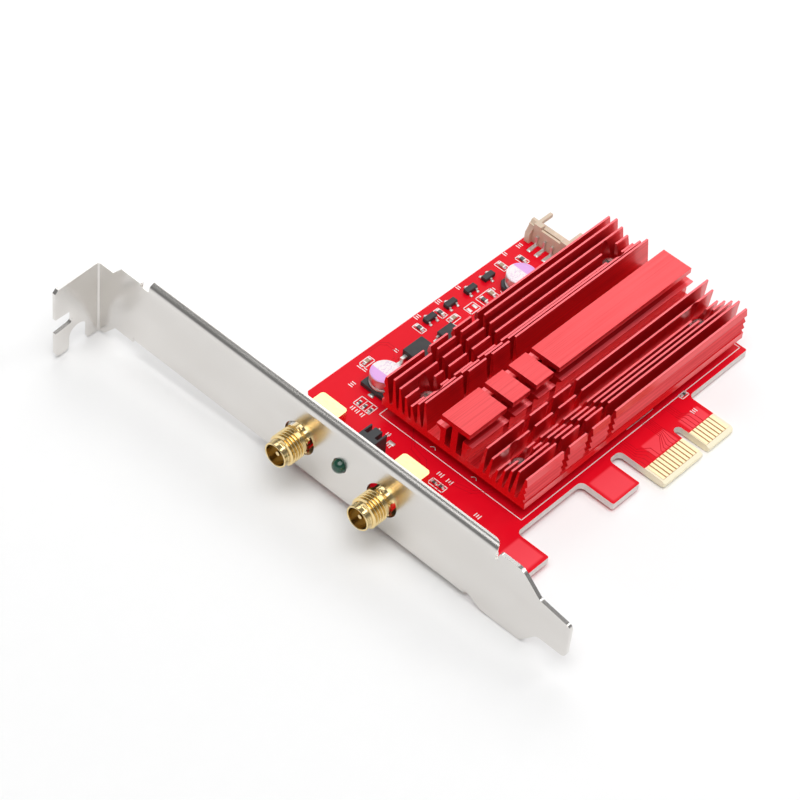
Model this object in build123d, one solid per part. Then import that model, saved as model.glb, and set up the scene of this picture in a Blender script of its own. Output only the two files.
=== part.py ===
from build123d import *
import os

# A wireless network card for a computer's expansion slot, in millimetres.
# X runs from the bracket's outer face into the computer, Y from the card edge up to the
# bracket's ear, and Z from the solder side to the component side of the circuit board.
# The board's component side lies at Z = 0 and its gold contacts end at Y = 0.

# Bracket sheet and its folds
sheet_t = 0.80
flange_bend_r = 0.80
ear_bend_r = 0.50
bracket_length = 120.02
bracket_width = 18.42
lip_reach = 2.05
lip_round = 2.00

# Ear of the bracket
ear_seat_y = 104.30
ear_length = 11.20
ear_width = 18.42
ear_drop = 3.53
ear_fall = 0.60
ear_bevel = 0.75
neck_length = 4.80
neck_ramp = 2.35
low_neck_length = 2.70
low_neck_ramp = 2.80
low_neck_rise = 0.60
low_shoulder_rise = 0.40
shoulder_drop = 0.90
notch_w = 3.20
notch_depth = 4.30
notch_flare = 0.60
notch_round = 0.90
notch_from_low = 8.55
cutout_w = 4.90
cutout_depth = 5.40
cutout_from_fold = 2.81
finger_round = 1.10

# Flanges, shoulders and tongue of the bracket
top_flange_y0 = 2.45
top_flange_y1 = 90.65
top_relief_w = 0.75
top_relief_depth = 0.95
top_relief_round = 0.70
top_ear_relief_w = 2.20
tongue_shoulder_drop = 0.50
low_flange_y0 = 8.15
low_flange_y1 = 94.00
low_relief_w = 1.05
low_relief_depth = 0.20
low_relief_ramp = 3.15
low_ear_relief_w = 0.60
top_taper_y = -3.80
low_taper_y = -5.40
top_taper_end_y = -8.30
low_taper_end_y = -8.96
tongue_inset = 4.32
tongue_width = 9.50
tongue_tip_width = 8.30
shoulder_round = 3.00
taper_round = 1.50
tongue_round = 1.20

# Tabs under the board and their screws
tab_y_low = 15.00
tab_y_high = 57.00
tab_width = 7.00
tab_reach = 8.60
tab_round = 1.50
tab_screw_x = 5.60
tab_screw_r = 1.25
tab_screw_head_r = 2.25
tab_screw_head_h = 1.50
tab_screw_end = 0.40
thread_gap = 0.02
hole_gap = 0.15
drive_w = 0.55
drive_depth = 0.60
drive_share = 0.65

# Circuit board outline
board_t = 1.57
board_gap = 1.50
board_y0 = 10.40
board_strip_w = 13.45
board_cut_gap = 0.35
board_cut_lead = 0.45
board_step = 1.00
board_step_x = 13.20
foot_x1 = 16.90
foot_y = 2.40
hook_x0 = 35.30
hook_x1 = 43.10
hook_y = 2.50
edge_x0 = 46.50
edge_x1 = 67.35
edge_y = -0.85
key_x = 58.85
key_w = 1.90
key_top_y = 6.90
edge_bevel_z = 0.45
edge_bevel_y = 0.80
board_inner_round = 1.20
board_corner_round = 0.40

# Edge contacts
contact_w = 0.70
contact_pitch = 1.00
contact_length = 4.20
contact_t = 0.06
contact_key_gap = 1.50
contacts_left = 11
contacts_right = 7

# Antenna jacks
jack_y_low = 29.50
jack_y_high = 50.40
jack_z = 5.97
jack_block_w = 6.60
jack_block_x0 = 2.60
jack_block_x1 = 9.70
jack_block_round = 0.80
jack_neck_r = 2.80
jack_collar_flats = 5.40
jack_collar_x0 = -0.55
jack_collar_x1 = 0.30
jack_relief_r = 2.85
jack_thread_x = -1.40
jack_thread_length = 3.70
jack_lip_length = 1.10
jack_lip_r = 2.65
jack_thread_r = 3.175
jack_spigot_r = 2.45
jack_bore_r = 2.30
jack_bore_x = -0.90
jack_hole_r = 3.70
jack_hole_shift = -0.20
jack_hole_rise = 0.40
jack_insulator_r = 2.05
jack_insulator_x1 = 4.40
jack_pin_r = 0.45
jack_pin_x = -5.50
jack_pin_down_x = 6.10
jack_cavity_r = 1.60
jack_well_r = 1.90
jack_well_top = 2.10
jack_leg_w = 0.90
jack_leg_inset = 0.35
through_end = 0.90
leg_gap = 0.10

# Indicator lamp and its holder
lamp_y = 39.95
lamp_z = 7.10
lamp_r = 1.50
lamp_hole_gap = 0.12
lamp_tip_x = -1.50
lamp_collar_r = 1.90
lamp_collar_t = 1.00
holder_x0 = 4.20
holder_x1 = 10.40
holder_width = 4.10
holder_cover = 2.05
holder_slot_w = 0.80
holder_slot_depth = 2.20
lamp_lead_r = 0.25
lamp_lead_pitch = 2.54

# Heatsink extrusion
sink_x0 = 20.15
sink_length = 64.95
sink_width = 36.00
sink_edge_gap = 1.45
sink_end_gap = 0.50
sink_z0 = 2.60
sink_base_t = 1.65
fin_root_t = 1.08
fin_top_t = 0.40
fin_shift = 0.75
fin_first = 6.95
fin_last_gap = 1.25
fin_heights = (6.85, 5.25, 3.40, 4.55, 5.72, 6.85)
side_fin_height = 6.15
side_fin_root_t = 1.90
side_fin_top_t = 0.40
side_fin_inset = 0.30
ridge_count = 3
ridge_pitch = 1.65
ridge_drop = 0.75
ridge_depth = 0.55
plate_half_w = 3.55
plate_top = 6.95
plate_t = 1.25
stem_t = 1.50
leg_inner = 2.10
leg_t = 1.25
wing_half_w = 4.50
wing_top = 4.10
wing_t = 0.30
wing_slope = 0.85
cut_start = 10.30
cut_pitch = 6.65
cut_w = 1.70
cut_count = 3

# Heatsink fastening
sink_screw_from_end = 5.85
sink_screw_from_side = 6.50
pocket_r = 2.38
sink_screw_r = 1.00
sink_screw_head_r = 1.80
sink_screw_head_h = 1.30
sink_screw_end = -0.60
standoff_r = 1.90
standoff_pilot_r = 1.35
standoff_pilot_gap = 0.05
standoff_pilot_depth = 1.00

# Radio module and thermal pad
radio_length = 16.00
radio_width = 12.00
radio_board_t = 0.70
radio_chip_w = 8.00
radio_chip_h = 0.90
shield_margin = 0.40
shield_wall = 0.20
shield_h = 1.30
pad_margin = 1.00

# Right-angle header
header_side_gap = 1.50
header_end_gap = 3.60
header_pitch = 2.00
header_pins_count = 4
header_width = 11.40
header_height = 5.00
header_depth = 5.00
header_back_t = 1.45
header_middle_drop = 0.70
header_post_w = 1.85
header_groove_w = 0.30
header_groove_depth = 0.80
header_groove_in = 0.55
header_wall_t = 1.30
header_arm_t = 0.75
header_arm_h = 0.90
header_floor_t = 1.00
header_ear_depth = 0.95
header_ear_height = 2.40
header_ear_top = 0.80
header_pin_w = 0.50
header_pin_z = 2.20
header_pin_tip = 1.90
header_foot_reach = 2.40
header_foot_t = 0.25
header_foot_w = 0.80

# Round capacitors: share of the heatsink's length, and the side of the uncut corners
capacitor_places = ((0.0878, -1), (0.6936, 1))
capacitor_gap = 1.07
can_r = 3.15
can_top = 4.20
can_round = 0.35
cap_base_w = 6.60
cap_base_h = 1.05
cap_base_corner = 1.20
terminal_t = 0.15
terminal_w = 0.70
terminal_gap = 1.00
terminal_out = 0.60

# Small transistors: share of the heatsink's length, and the side of the single leg
transistor_out = 10.55
transistor_places = ((0.3888, 1), (0.4811, 1), (0.5720, 1), (0.6536, -1))
transistor_l = 2.90
transistor_w = 1.30
transistor_h = 0.95
transistor_leg_w = 0.42
transistor_leg_t = 0.12
transistor_leg_z = 0.45
transistor_leg_reach = 0.55
transistor_leg_foot = 0.35
transistor_leg_pitch = 1.90
package_lift = 0.10

# Regulator with a cooling tab
regulator_share = 0.2533
regulator_l = 5.40
regulator_out = 7.30
regulator_w = 6.55
regulator_top = 2.30
regulator_tab_t = 0.50
regulator_tab_w = 5.30
regulator_tab_out = 1.30
regulator_tab_in = 2.60
regulator_leg_w = 0.75
regulator_leg_t = 0.45
regulator_leg_pitch = 4.56
regulator_leg_z = 0.95
regulator_leg_reach = 2.30
regulator_leg_foot = 1.40

# Power controller with eight legs
controller_share = 0.3803
controller_l = 3.90
controller_out = 6.45
controller_w = 4.90
controller_h = 1.50
controller_leg_w = 0.42
controller_leg_t = 0.20
controller_leg_pitch = 1.27
controller_leg_z = 0.70
controller_leg_reach = 1.00
controller_leg_foot = 0.60
controller_legs_per_side = 4

# Chip parts: centre, and True where the long side runs along Y. On the strip beside the
# heatsink, the centre is a share of the heatsink's length and a distance out from its side.
chip_l = 1.60
chip_w = 0.80
chip_h = 0.50
chip_end = 0.32
small_chip_l = 1.10
small_chip_w = 0.55
small_chip_h = 0.40
small_chip_end = 0.24
resistor_places = ((0.3390, 10.30, True), (0.4330, 10.35, True), (0.5720, 6.90, True), (0.7922, 9.35, True))
capacitor_chip_places = ((0.4457, 7.55, False), (0.6089, 7.00, True), (0.1224, 11.05, False),
                         (0.7244, 10.95, True))
small_chip_places = ((19.05, 52.40, False), (19.10, 51.00, False), (19.15, 49.60, False),
                     (14.70, 29.00, True), (14.80, 27.40, True), (66.80, 11.25, False))

# Places that follow from the sizes above
board_z0 = -board_t
body_z0 = board_z0 - sheet_t
body_z1 = body_z0 + bracket_width
ear_z0 = body_z0 - ear_drop
ear_z1 = ear_z0 + ear_width
bend_outer_r = flange_bend_r + sheet_t
ear_y = ear_seat_y + sheet_t
tongue_tip_y = ear_seat_y - bracket_length
tongue_z0 = body_z0 + tongue_inset
board_x0 = sheet_t + board_gap
sink_x1 = sink_x0 + sink_length
sink_y = board_y0 + sink_edge_gap + sink_width / 2
strip_y = sink_y + sink_width / 2
board_x1 = sink_x1 + sink_end_gap
board_y1 = strip_y + board_strip_w
header_y = strip_y + header_side_gap + header_width / 2
header_front_x = board_x1 - header_end_gap
header_back_x = header_front_x - header_depth
jack_lip_x = jack_thread_x - jack_thread_length
jack_tip_x = jack_lip_x - jack_lip_length
jack_places = (jack_y_low, jack_y_high)
tab_places = (tab_y_low, tab_y_high)
through_z = board_z0 - through_end
sink_mid_x = sink_x0 + sink_length / 2
sink_floor = sink_z0 + sink_base_t
sink_top = sink_floor + max(fin_heights + (plate_top,))
side_fin_inner = sink_width / 2 - side_fin_root_t
fin_pitch = (side_fin_inner - fin_last_gap - fin_first) / (len(fin_heights) - 1)
capacitor_y = strip_y + capacitor_gap + cap_base_w / 2
transistor_y = strip_y + transistor_out
regulator_y1 = strip_y + regulator_out
controller_y1 = strip_y + controller_out
regulator_x0 = sink_x0 + regulator_share * sink_length - regulator_l / 2
regulator_x1 = regulator_x0 + regulator_l
controller_x0 = sink_x0 + controller_share * sink_length - controller_l / 2
radio_top = radio_board_t + shield_h
near = 0.01


def box(x0, x1, y0, y1, z0, z1):
    """Block between two corners."""
    return Pos((x0 + x1) / 2, (y0 + y1) / 2, (z0 + z1) / 2) * Box(x1 - x0, y1 - y0, z1 - z0)


def rod_x(x0, x1, y, z, r):
    """Round rod along X."""
    return Pos((x0 + x1) / 2, y, z) * Rot(0, 90, 0) * Cylinder(r, x1 - x0)


def rod_z(x, y, z0, z1, r):
    """Round rod along Z."""
    return Pos(x, y, (z0 + z1) / 2) * Cylinder(r, z1 - z0)


def prism_x(outline, x0, x1):
    """Flat outline in (y, z) drawn out along X."""
    return extrude(Plane.YZ.offset(x0) * outline, amount=x1 - x0)


def prism_y(outline, y0, y1):
    """Flat outline in (x, z) drawn out along Y."""
    return extrude(Plane.XZ.offset(-y1) * outline, amount=y1 - y0)


def prism_z(outline, z0, z1):
    """Flat outline in (x, y) drawn out along Z."""
    return extrude(Plane.XY.offset(z0) * outline, amount=z1 - z0)


def area(*points):
    """Flat area with straight sides, turned so that it faces forward."""
    following = points[1:] + points[:1]
    turn = sum(x0 * y1 - x1 * y0 for (x0, y0), (x1, y1) in zip(points, following))
    return Polygon(*(points if turn > 0 else points[::-1]), align=None)


def rounded(outline, radius, *corners):
    """Flat outline with the named corners rounded."""
    def is_named(vertex):
        return any(abs(vertex.X - x) < near and abs(vertex.Y - y) < near for x, y in corners)
    return fillet([vertex for vertex in outline.vertices() if is_named(vertex)], radius)


def save(node, *shapes):
    """Write one node, with every solid that belongs to it."""
    solids = [solid for shape in shapes for solid in shape.solids()]
    export_step(solids[0] if len(solids) == 1 else Compound(solids), f"parts/{node}.step")


def cross_drive(x, y, top):
    """Crossed slots in a screw's head."""
    def slots(head_r):
        arm = head_r * drive_share
        low = top - drive_depth
        along = box(x - arm, x + arm, y - drive_w / 2, y + drive_w / 2, low, top)
        across = box(x - drive_w / 2, x + drive_w / 2, y - arm, y + arm, low, top)
        return along + across
    return slots


def pan_screw(x, y, seat, end, shank_r, head_r, head_h):
    """Screw with a low round head that sits on the seat and points down."""
    head = rod_z(x, y, seat, seat + head_h, head_r)
    head = fillet(head.edges().sort_by(Axis.Z)[-1], head_h / 3)
    return head + rod_z(x, y, end, seat, shank_r) - cross_drive(x, y, seat + head_h)(head_r)


def gull_leg(root_z, reach, foot, thickness, width):
    """Bent leg that leaves a package along +X and ends flat on the board."""
    knee = reach - foot
    profile = area((0, root_z), (knee, root_z), (knee, 0), (reach, 0), (reach, thickness),
                   (knee + thickness, thickness), (knee + thickness, root_z + thickness),
                   (0, root_z + thickness))
    return prism_y(profile, -width / 2, width / 2)


def bracket_plate():
    """Flat face of the bracket, with its tongue, shoulders and holes."""
    top_bend = body_z1 - bend_outer_r
    low_bend = body_z0 + bend_outer_r
    top_relief = top_bend - top_relief_depth
    low_relief = low_bend + low_relief_depth
    neck_y = ear_y - neck_length
    low_neck_y = ear_y - low_neck_length
    shoulder_z = body_z1 - shoulder_drop
    low_shoulder_z = body_z0 + low_shoulder_rise
    tongue_shoulder_z = body_z1 - tongue_shoulder_drop
    top_relief_y = top_flange_y0 - top_relief_w
    top_ear_y = top_flange_y1 + top_ear_relief_w
    low_relief_y = low_flange_y0 - low_relief_w
    low_ear_y = low_flange_y1 + low_ear_relief_w
    relief_corner = (top_relief_y, tongue_shoulder_z)
    top_corner = (top_taper_y, tongue_shoulder_z)
    low_corner = (low_taper_y, body_z0)
    top_foot = (top_taper_end_y, tongue_z0 + tongue_width)
    low_foot = (low_taper_end_y, tongue_z0)
    tip_corners = ((tongue_tip_y, tongue_z0 + tongue_tip_width), (tongue_tip_y, tongue_z0))
    outline = area(
        (ear_y, ear_z0), (ear_y, ear_z1), (neck_y, ear_z1), (neck_y - neck_ramp, shoulder_z),
        (top_ear_y, shoulder_z), (top_ear_y, top_bend), (top_flange_y0, top_bend),
        (top_flange_y0, top_relief), (top_relief_y, top_relief), relief_corner, top_corner, top_foot,
        *tip_corners, low_foot, low_corner, (low_relief_y - low_relief_ramp, body_z0),
        (low_relief_y, low_relief), (low_flange_y0, low_relief), (low_flange_y0, low_bend),
        (low_ear_y, low_bend), (low_ear_y, low_shoulder_z), (low_neck_y - low_neck_ramp, low_shoulder_z),
        (low_neck_y, ear_z0 + low_neck_rise), (ear_seat_y - ear_bend_r, ear_z0))
    outline = rounded(outline, top_relief_round, relief_corner)
    outline = rounded(outline, shoulder_round, top_corner)
    outline = rounded(outline, taper_round, low_corner, top_foot, low_foot)
    outline = rounded(outline, tongue_round, *tip_corners)
    for jack_y in jack_places:
        outline -= Pos(jack_y + jack_hole_shift, jack_z + jack_hole_rise) * Circle(jack_hole_r)
    outline -= Pos(lamp_y, lamp_z) * Circle(lamp_r + lamp_hole_gap)
    return prism_x(outline, 0, sheet_t)


def bracket_ear():
    """Ear with the open screw notch and the round cut-out beside it."""
    outer_x = -ear_length
    notch_z = ear_z0 + notch_from_low
    cutout_x1 = -cutout_from_fold
    cutout_x0 = cutout_x1 - cutout_w
    cutout_r = cutout_w / 2
    outer_z = ear_z1 - ear_fall
    outline = area((outer_x, ear_z0), (sheet_t, ear_z0), (sheet_t, ear_z1), (-ear_bend_r, ear_z1),
                   (outer_x + ear_bevel, outer_z), (outer_x, outer_z - ear_bevel))
    notch_z0 = notch_z - notch_w / 2
    notch_z1 = notch_z + notch_w / 2
    notch_ends = ((outer_x + notch_depth, notch_z0), (outer_x + notch_depth, notch_z1))
    notch = area((outer_x, notch_z0 - notch_flare), *notch_ends, (outer_x, notch_z1))
    outline -= rounded(notch, notch_round, *notch_ends)
    cutout_end = ear_z0 + cutout_depth - cutout_r
    outline -= area((cutout_x0, ear_z0), (cutout_x1, ear_z0), (cutout_x1, cutout_end),
                    (cutout_x0, cutout_end))
    outline -= Pos((cutout_x0 + cutout_x1) / 2, cutout_end) * Circle(cutout_r)
    outline = rounded(outline, finger_round, (outer_x, ear_z0), (cutout_x0, ear_z0))
    return prism_y(outline, ear_y - sheet_t, ear_y)


def flange(edge_z, inward):
    """Section of a folded flange: bend and short lip, at the edge that lies at edge_z."""
    outer = Circle(bend_outer_r) - Circle(flange_bend_r)
    corner = Rectangle(bend_outer_r, bend_outer_r)
    quarter = outer & (Pos(-bend_outer_r / 2, -inward * bend_outer_r / 2) * corner)
    section = Pos(bend_outer_r, edge_z + inward * bend_outer_r) * quarter
    lip_z = edge_z + inward * sheet_t
    return section + area((bend_outer_r, edge_z), (lip_reach, edge_z), (lip_reach, lip_z),
                          (bend_outer_r, lip_z))


def lip_corner():
    """Waste cut off the upper lip's end by the tongue, which leaves a round corner."""
    x = lip_reach - lip_round
    y = top_flange_y0 + lip_round
    square = area((x, top_flange_y0), (lip_reach, top_flange_y0), (lip_reach, y), (x, y))
    return prism_z(square - Pos(x, y) * Circle(lip_round), body_z1 - bend_outer_r, body_z1)


def bracket_tab(tab_y):
    """Tab that carries the board on the lower flange."""
    y0 = tab_y - tab_width / 2
    y1 = tab_y + tab_width / 2
    ends = ((tab_reach, y0), (tab_reach, y1))
    outline = area((bend_outer_r, y0), ends[0], ends[1], (bend_outer_r, y1))
    outline = rounded(outline, tab_round, *ends)
    outline -= Pos(tab_screw_x, tab_y) * Circle(tab_screw_r + thread_gap)
    return prism_z(outline, body_z0, board_z0)


def make_bracket():
    """One folded sheet: plate, ear, two flanges and two tabs."""
    sheet = bracket_plate() + bracket_ear()
    sheet += prism_y(flange(body_z1, -1), top_flange_y0, top_flange_y1) - lip_corner()
    sheet += prism_y(flange(body_z0, 1), low_flange_y0, low_flange_y1)
    for tab_y in tab_places:
        sheet += bracket_tab(tab_y)
    upright = sheet.edges().filter_by(Axis.Z)
    inside = [e for e in upright if abs(e.center().X) < near and abs(e.center().Y - ear_y + sheet_t) < near]
    sheet = fillet(inside, ear_bend_r)
    upright = sheet.edges().filter_by(Axis.Z)
    outside = [e for e in upright if abs(e.center().X - sheet_t) < near and abs(e.center().Y - ear_y) < near]
    return fillet(outside, ear_bend_r + sheet_t)


def make_bracket_screws():
    """Two screws through the board into the bracket's tabs."""
    end = body_z0 - tab_screw_end
    return [pan_screw(tab_screw_x, y, 0, end, tab_screw_r, tab_screw_head_r, tab_screw_head_h)
            for y in tab_places]


def jack_leg_places(jack_y):
    """Centres of the four legs under a jack's block."""
    inset = jack_leg_inset + jack_leg_w / 2
    half = jack_block_w / 2 - inset
    along = (jack_block_x0 + inset, jack_block_x1 - inset)
    return [(x, jack_y + side * half) for x in along for side in (-1, 1)]


def lamp_lead_places():
    """Centres of the two lamp leads where they pass the board."""
    x = holder_x1 - holder_slot_depth / 2
    return [(x, lamp_y + side * lamp_lead_pitch / 2) for side in (-1, 1)]


def sink_screw_places():
    """Centres of the four heatsink screws."""
    along = (sink_x0 + sink_screw_from_end, sink_x1 - sink_screw_from_end)
    out = sink_width / 2 - sink_screw_from_side
    return [(x, sink_y + side * out) for x in along for side in (-1, 1)]


def board_outline():
    """Board with its foot, hook tab, key slot and card edge, cut back at the header's mouth."""
    top_step_y = board_y1 - board_step
    foot_corner = (foot_x1, board_y0)
    hook_corner = (hook_x0, board_y0)
    slot_corners = ((hook_x1, board_y0), (edge_x0, board_y0))
    edge_corner = (edge_x1, board_y0)
    cut_x = header_front_x + board_cut_lead
    cut_y = strip_y + board_cut_gap
    edge_ends = ((edge_x0, edge_y), (edge_x1, edge_y))
    outer = ((foot_x1, foot_y), (hook_x0, hook_y), (hook_x1, hook_y), (board_x1, board_y0), (board_x1, cut_y),
             (cut_x, board_y1), *edge_ends)
    outline = area(
        (board_x0, foot_y), outer[0], foot_corner, hook_corner, outer[1], outer[2], *slot_corners,
        *edge_ends, edge_corner, outer[3], outer[4], (cut_x, cut_y), outer[5],
        (board_step_x + board_step, board_y1), (board_step_x, top_step_y), (board_x0, top_step_y))
    outline = rounded(outline, board_inner_round, foot_corner, hook_corner, *slot_corners, edge_corner)
    outline = rounded(outline, board_corner_round, *outer)
    key_r = key_w / 2
    key_end = key_top_y - key_r
    outline -= area((key_x - key_r, edge_y), (key_x + key_r, edge_y), (key_x + key_r, key_end),
                    (key_x - key_r, key_end))
    return outline - Pos(key_x, key_end) * Circle(key_r)


def make_board():
    """Drilled board with a bevelled card edge."""
    outline = board_outline()
    for tab_y in tab_places:
        outline -= Pos(tab_screw_x, tab_y) * Circle(tab_screw_r + hole_gap)
    for x, y in sink_screw_places():
        outline -= Pos(x, y) * Circle(standoff_pilot_r + standoff_pilot_gap)
    for jack_y in jack_places:
        for x, y in jack_leg_places(jack_y):
            outline -= Pos(x, y) * Circle(jack_leg_w / 2 * 2 ** 0.5 + leg_gap)
        outline -= Pos(jack_pin_down_x, jack_y) * Circle(jack_pin_r + leg_gap)
    for x, y in lamp_lead_places():
        outline -= Pos(x, y) * Circle(lamp_lead_r + leg_gap)
    blank = prism_z(outline, board_z0, 0)
    top_bevel = area((edge_y, 0), (edge_y + edge_bevel_y, 0), (edge_y, -edge_bevel_z))
    low_bevel = area((edge_y, board_z0), (edge_y, board_z0 + edge_bevel_z), (edge_y + edge_bevel_y, board_z0))
    return blank - prism_x(top_bevel, edge_x0, edge_x1) - prism_x(low_bevel, edge_x0, edge_x1)


def make_contacts(z0):
    """One side's row of flat gold contacts, split by the key notch."""
    left = [key_x - contact_key_gap - contact_pitch * i for i in range(contacts_left)]
    right = [key_x + contact_key_gap + contact_pitch * i for i in range(contacts_right)]
    half = contact_w / 2
    return [box(x - half, x + half, 0, contact_length, z0, z0 + contact_t) for x in left + right]


def make_jack_block(jack_y):
    """Gold block on four legs, bored for the barrel and hollow where the centre contact turns down."""
    half = jack_block_w / 2
    block = box(jack_block_x0, jack_block_x1, jack_y - half, jack_y + half, 0, jack_z + half)
    rear = block.edges().filter_by(Axis.Z).sort_by(Axis.X)[-2:]
    block = fillet(rear, jack_block_round)
    block -= rod_x(jack_block_x0, jack_insulator_x1, jack_y, jack_z, jack_spigot_r)
    block -= rod_x(jack_insulator_x1, jack_pin_down_x, jack_y, jack_z, jack_cavity_r)
    block -= rod_z(jack_pin_down_x, jack_y, 0, jack_z + jack_well_top, jack_well_r)
    leg_half = jack_leg_w / 2
    for x, y in jack_leg_places(jack_y):
        block += box(x - leg_half, x + leg_half, y - leg_half, y + leg_half, through_z, 0)
    return block


def make_jack_barrel(jack_y):
    """Barrel pressed into the block: spigot, neck, six-sided collar, relief, thread and thin front lip."""
    barrel = rod_x(jack_block_x0, jack_insulator_x1, jack_y, jack_z, jack_spigot_r)
    barrel += rod_x(jack_collar_x1, jack_block_x0, jack_y, jack_z, jack_neck_r)
    collar = RegularPolygon(jack_collar_flats / 2, 6, major_radius=False)
    barrel += prism_x(Pos(jack_y, jack_z) * collar, jack_collar_x0, jack_collar_x1)
    barrel += rod_x(jack_thread_x, jack_collar_x0, jack_y, jack_z, jack_relief_r)
    barrel += rod_x(jack_lip_x, jack_thread_x, jack_y, jack_z, jack_thread_r)
    barrel += rod_x(jack_tip_x, jack_lip_x, jack_y, jack_z, jack_lip_r)
    barrel -= rod_x(jack_tip_x, jack_bore_x, jack_y, jack_z, jack_bore_r)
    return barrel - rod_x(jack_bore_x, jack_insulator_x1, jack_y, jack_z, jack_insulator_r)


def make_jack_insulator(jack_y):
    """White sleeve that holds the centre contact."""
    sleeve = rod_x(jack_bore_x, jack_insulator_x1, jack_y, jack_z, jack_insulator_r)
    return sleeve - rod_x(jack_bore_x, jack_insulator_x1, jack_y, jack_z, jack_pin_r)


def make_jack_pin(jack_y):
    """Centre contact: along the barrel, then down through the board."""
    pin = rod_x(jack_pin_x, jack_pin_down_x, jack_y, jack_z, jack_pin_r)
    pin += Pos(jack_pin_down_x, jack_y, jack_z) * Sphere(jack_pin_r)
    return pin + rod_z(jack_pin_down_x, jack_y, through_z, jack_z, jack_pin_r)


def make_lamp_lens():
    """Domed lamp that looks out through the bracket, with its collar against the holder."""
    dome_x = lamp_tip_x + lamp_r
    collar_x = holder_x0 - lamp_collar_t
    lens = Pos(dome_x, lamp_y, lamp_z) * Sphere(lamp_r)
    lens += rod_x(dome_x, collar_x, lamp_y, lamp_z, lamp_r)
    return lens + rod_x(collar_x, holder_x0, lamp_y, lamp_z, lamp_collar_r)


def make_lamp_holder():
    """Black block behind the lamp, with a slot at the back for each lead."""
    half = holder_width / 2
    block = box(holder_x0, holder_x1, lamp_y - half, lamp_y + half, 0, lamp_z + holder_cover)
    for x, y in lamp_lead_places():
        slot_half = holder_slot_w / 2
        block -= box(holder_x1 - holder_slot_depth, holder_x1, y - slot_half, y + slot_half,
                     0, lamp_z + holder_cover)
        block -= rod_x(holder_x0, x, y, lamp_z, lamp_lead_r)
    return block


def make_lamp_leads():
    """Two wires from the lamp, bent down through the board."""
    leads = []
    for x, y in lamp_lead_places():
        lead = rod_x(holder_x0, x, y, lamp_z, lamp_lead_r) + Pos(x, y, lamp_z) * Sphere(lamp_lead_r)
        leads.append(lead + rod_z(x, y, through_z, lamp_z, lamp_lead_r))
    return leads


def fin_section(foot, height, side):
    """One tapered fin, leaning outwards, on one side of the heatsink's middle."""
    root = sink_floor - sink_base_t / 2
    tip = foot + fin_shift
    half_root = fin_root_t / 2
    half_top = fin_top_t / 2
    inner = [(foot - half_root, root), (foot - half_root, sink_floor), (tip - half_top, sink_floor + height)]
    outer = [(tip + half_top, sink_floor + height), (foot + half_root, sink_floor), (foot + half_root, root)]
    return area(*[(sink_y + side * offset, z) for offset, z in inner + outer])


def side_fin_section(side):
    """Outermost fin, with saw-tooth ridges down to the edge of the base."""
    half = sink_width / 2
    top = sink_floor + side_fin_height
    top_out = half - side_fin_inset
    points = [(side_fin_inner, sink_z0), (side_fin_inner, sink_floor), (top_out - side_fin_top_t, top),
              (top_out, top)]
    for i in range(ridge_count):
        crest = top - ridge_pitch * (i + 1)
        points += [(half, crest), (half - ridge_depth, crest - ridge_drop)]
    points += [(half, top - ridge_pitch * (ridge_count + 1)), (half, sink_z0)]
    return area(*[(sink_y + side * offset, z) for offset, z in points])


def centre_section():
    """T-shaped middle rib with a winged leg on each side of it."""
    top = sink_floor + plate_top
    root = sink_floor - sink_base_t / 2
    section = area((sink_y - plate_half_w, top - plate_t), (sink_y + plate_half_w, top - plate_t),
                   (sink_y + plate_half_w, top), (sink_y - plate_half_w, top))
    section += area((sink_y - stem_t / 2, root), (sink_y + stem_t / 2, root),
                    (sink_y + stem_t / 2, top - plate_t / 2), (sink_y - stem_t / 2, top - plate_t / 2))
    wing_z = sink_floor + wing_top
    leg_outer = leg_inner + leg_t
    for side in (-1, 1):
        points = ((leg_inner, root), (leg_outer, root), (leg_outer, wing_z - wing_t - wing_slope),
                  (wing_half_w, wing_z - wing_t), (wing_half_w, wing_z), (leg_inner, wing_z))
        section += area(*[(sink_y + side * offset, z) for offset, z in points])
    return section


def make_heatsink():
    """Extruded finned block with three cross-cuts and four screw pockets."""
    half = sink_width / 2
    section = area((sink_y - half, sink_z0), (sink_y + half, sink_z0), (sink_y + half, sink_floor),
                   (sink_y - half, sink_floor))
    section += centre_section()
    for side in (-1, 1):
        for i, height in enumerate(fin_heights):
            section += fin_section(fin_first + fin_pitch * i, height, side)
        section += side_fin_section(side)
    sink = prism_x(section, sink_x0, sink_x1)
    for i in range(cut_count):
        cut_x = sink_x0 + cut_start + cut_pitch * i
        sink -= box(cut_x, cut_x + cut_w, sink_y - half, sink_y + half, sink_floor, sink_top)
    for x, y in sink_screw_places():
        sink -= rod_z(x, y, sink_floor, sink_top, pocket_r)
        sink -= rod_z(x, y, sink_z0, sink_floor, sink_screw_r + hole_gap)
    return sink


def make_sink_screws():
    """Four screws in the heatsink's pockets."""
    return [pan_screw(x, y, sink_floor, sink_screw_end, sink_screw_r, sink_screw_head_r, sink_screw_head_h)
            for x, y in sink_screw_places()]


def make_standoffs():
    """Four threaded spacers that carry the heatsink and plug into the board."""
    pilot_z = -standoff_pilot_depth
    spacers = []
    for x, y in sink_screw_places():
        spacer = rod_z(x, y, 0, sink_z0, standoff_r) + rod_z(x, y, pilot_z, 0, standoff_pilot_r)
        spacers.append(spacer - rod_z(x, y, pilot_z, sink_z0, sink_screw_r + thread_gap))
    return spacers


def middle_block(length, width, z0, z1):
    """Block centred under the heatsink."""
    half_l = length / 2
    half_w = width / 2
    return box(sink_mid_x - half_l, sink_mid_x + half_l, sink_y - half_w, sink_y + half_w, z0, z1)


def make_shield():
    """Thin metal lid over the radio chip, open underneath."""
    length = radio_length - 2 * shield_margin
    width = radio_width - 2 * shield_margin
    lid = middle_block(length, width, radio_board_t, radio_top)
    inside_l = length - 2 * shield_wall
    inside_w = width - 2 * shield_wall
    return lid - middle_block(inside_l, inside_w, radio_board_t, radio_top - shield_wall)


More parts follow.
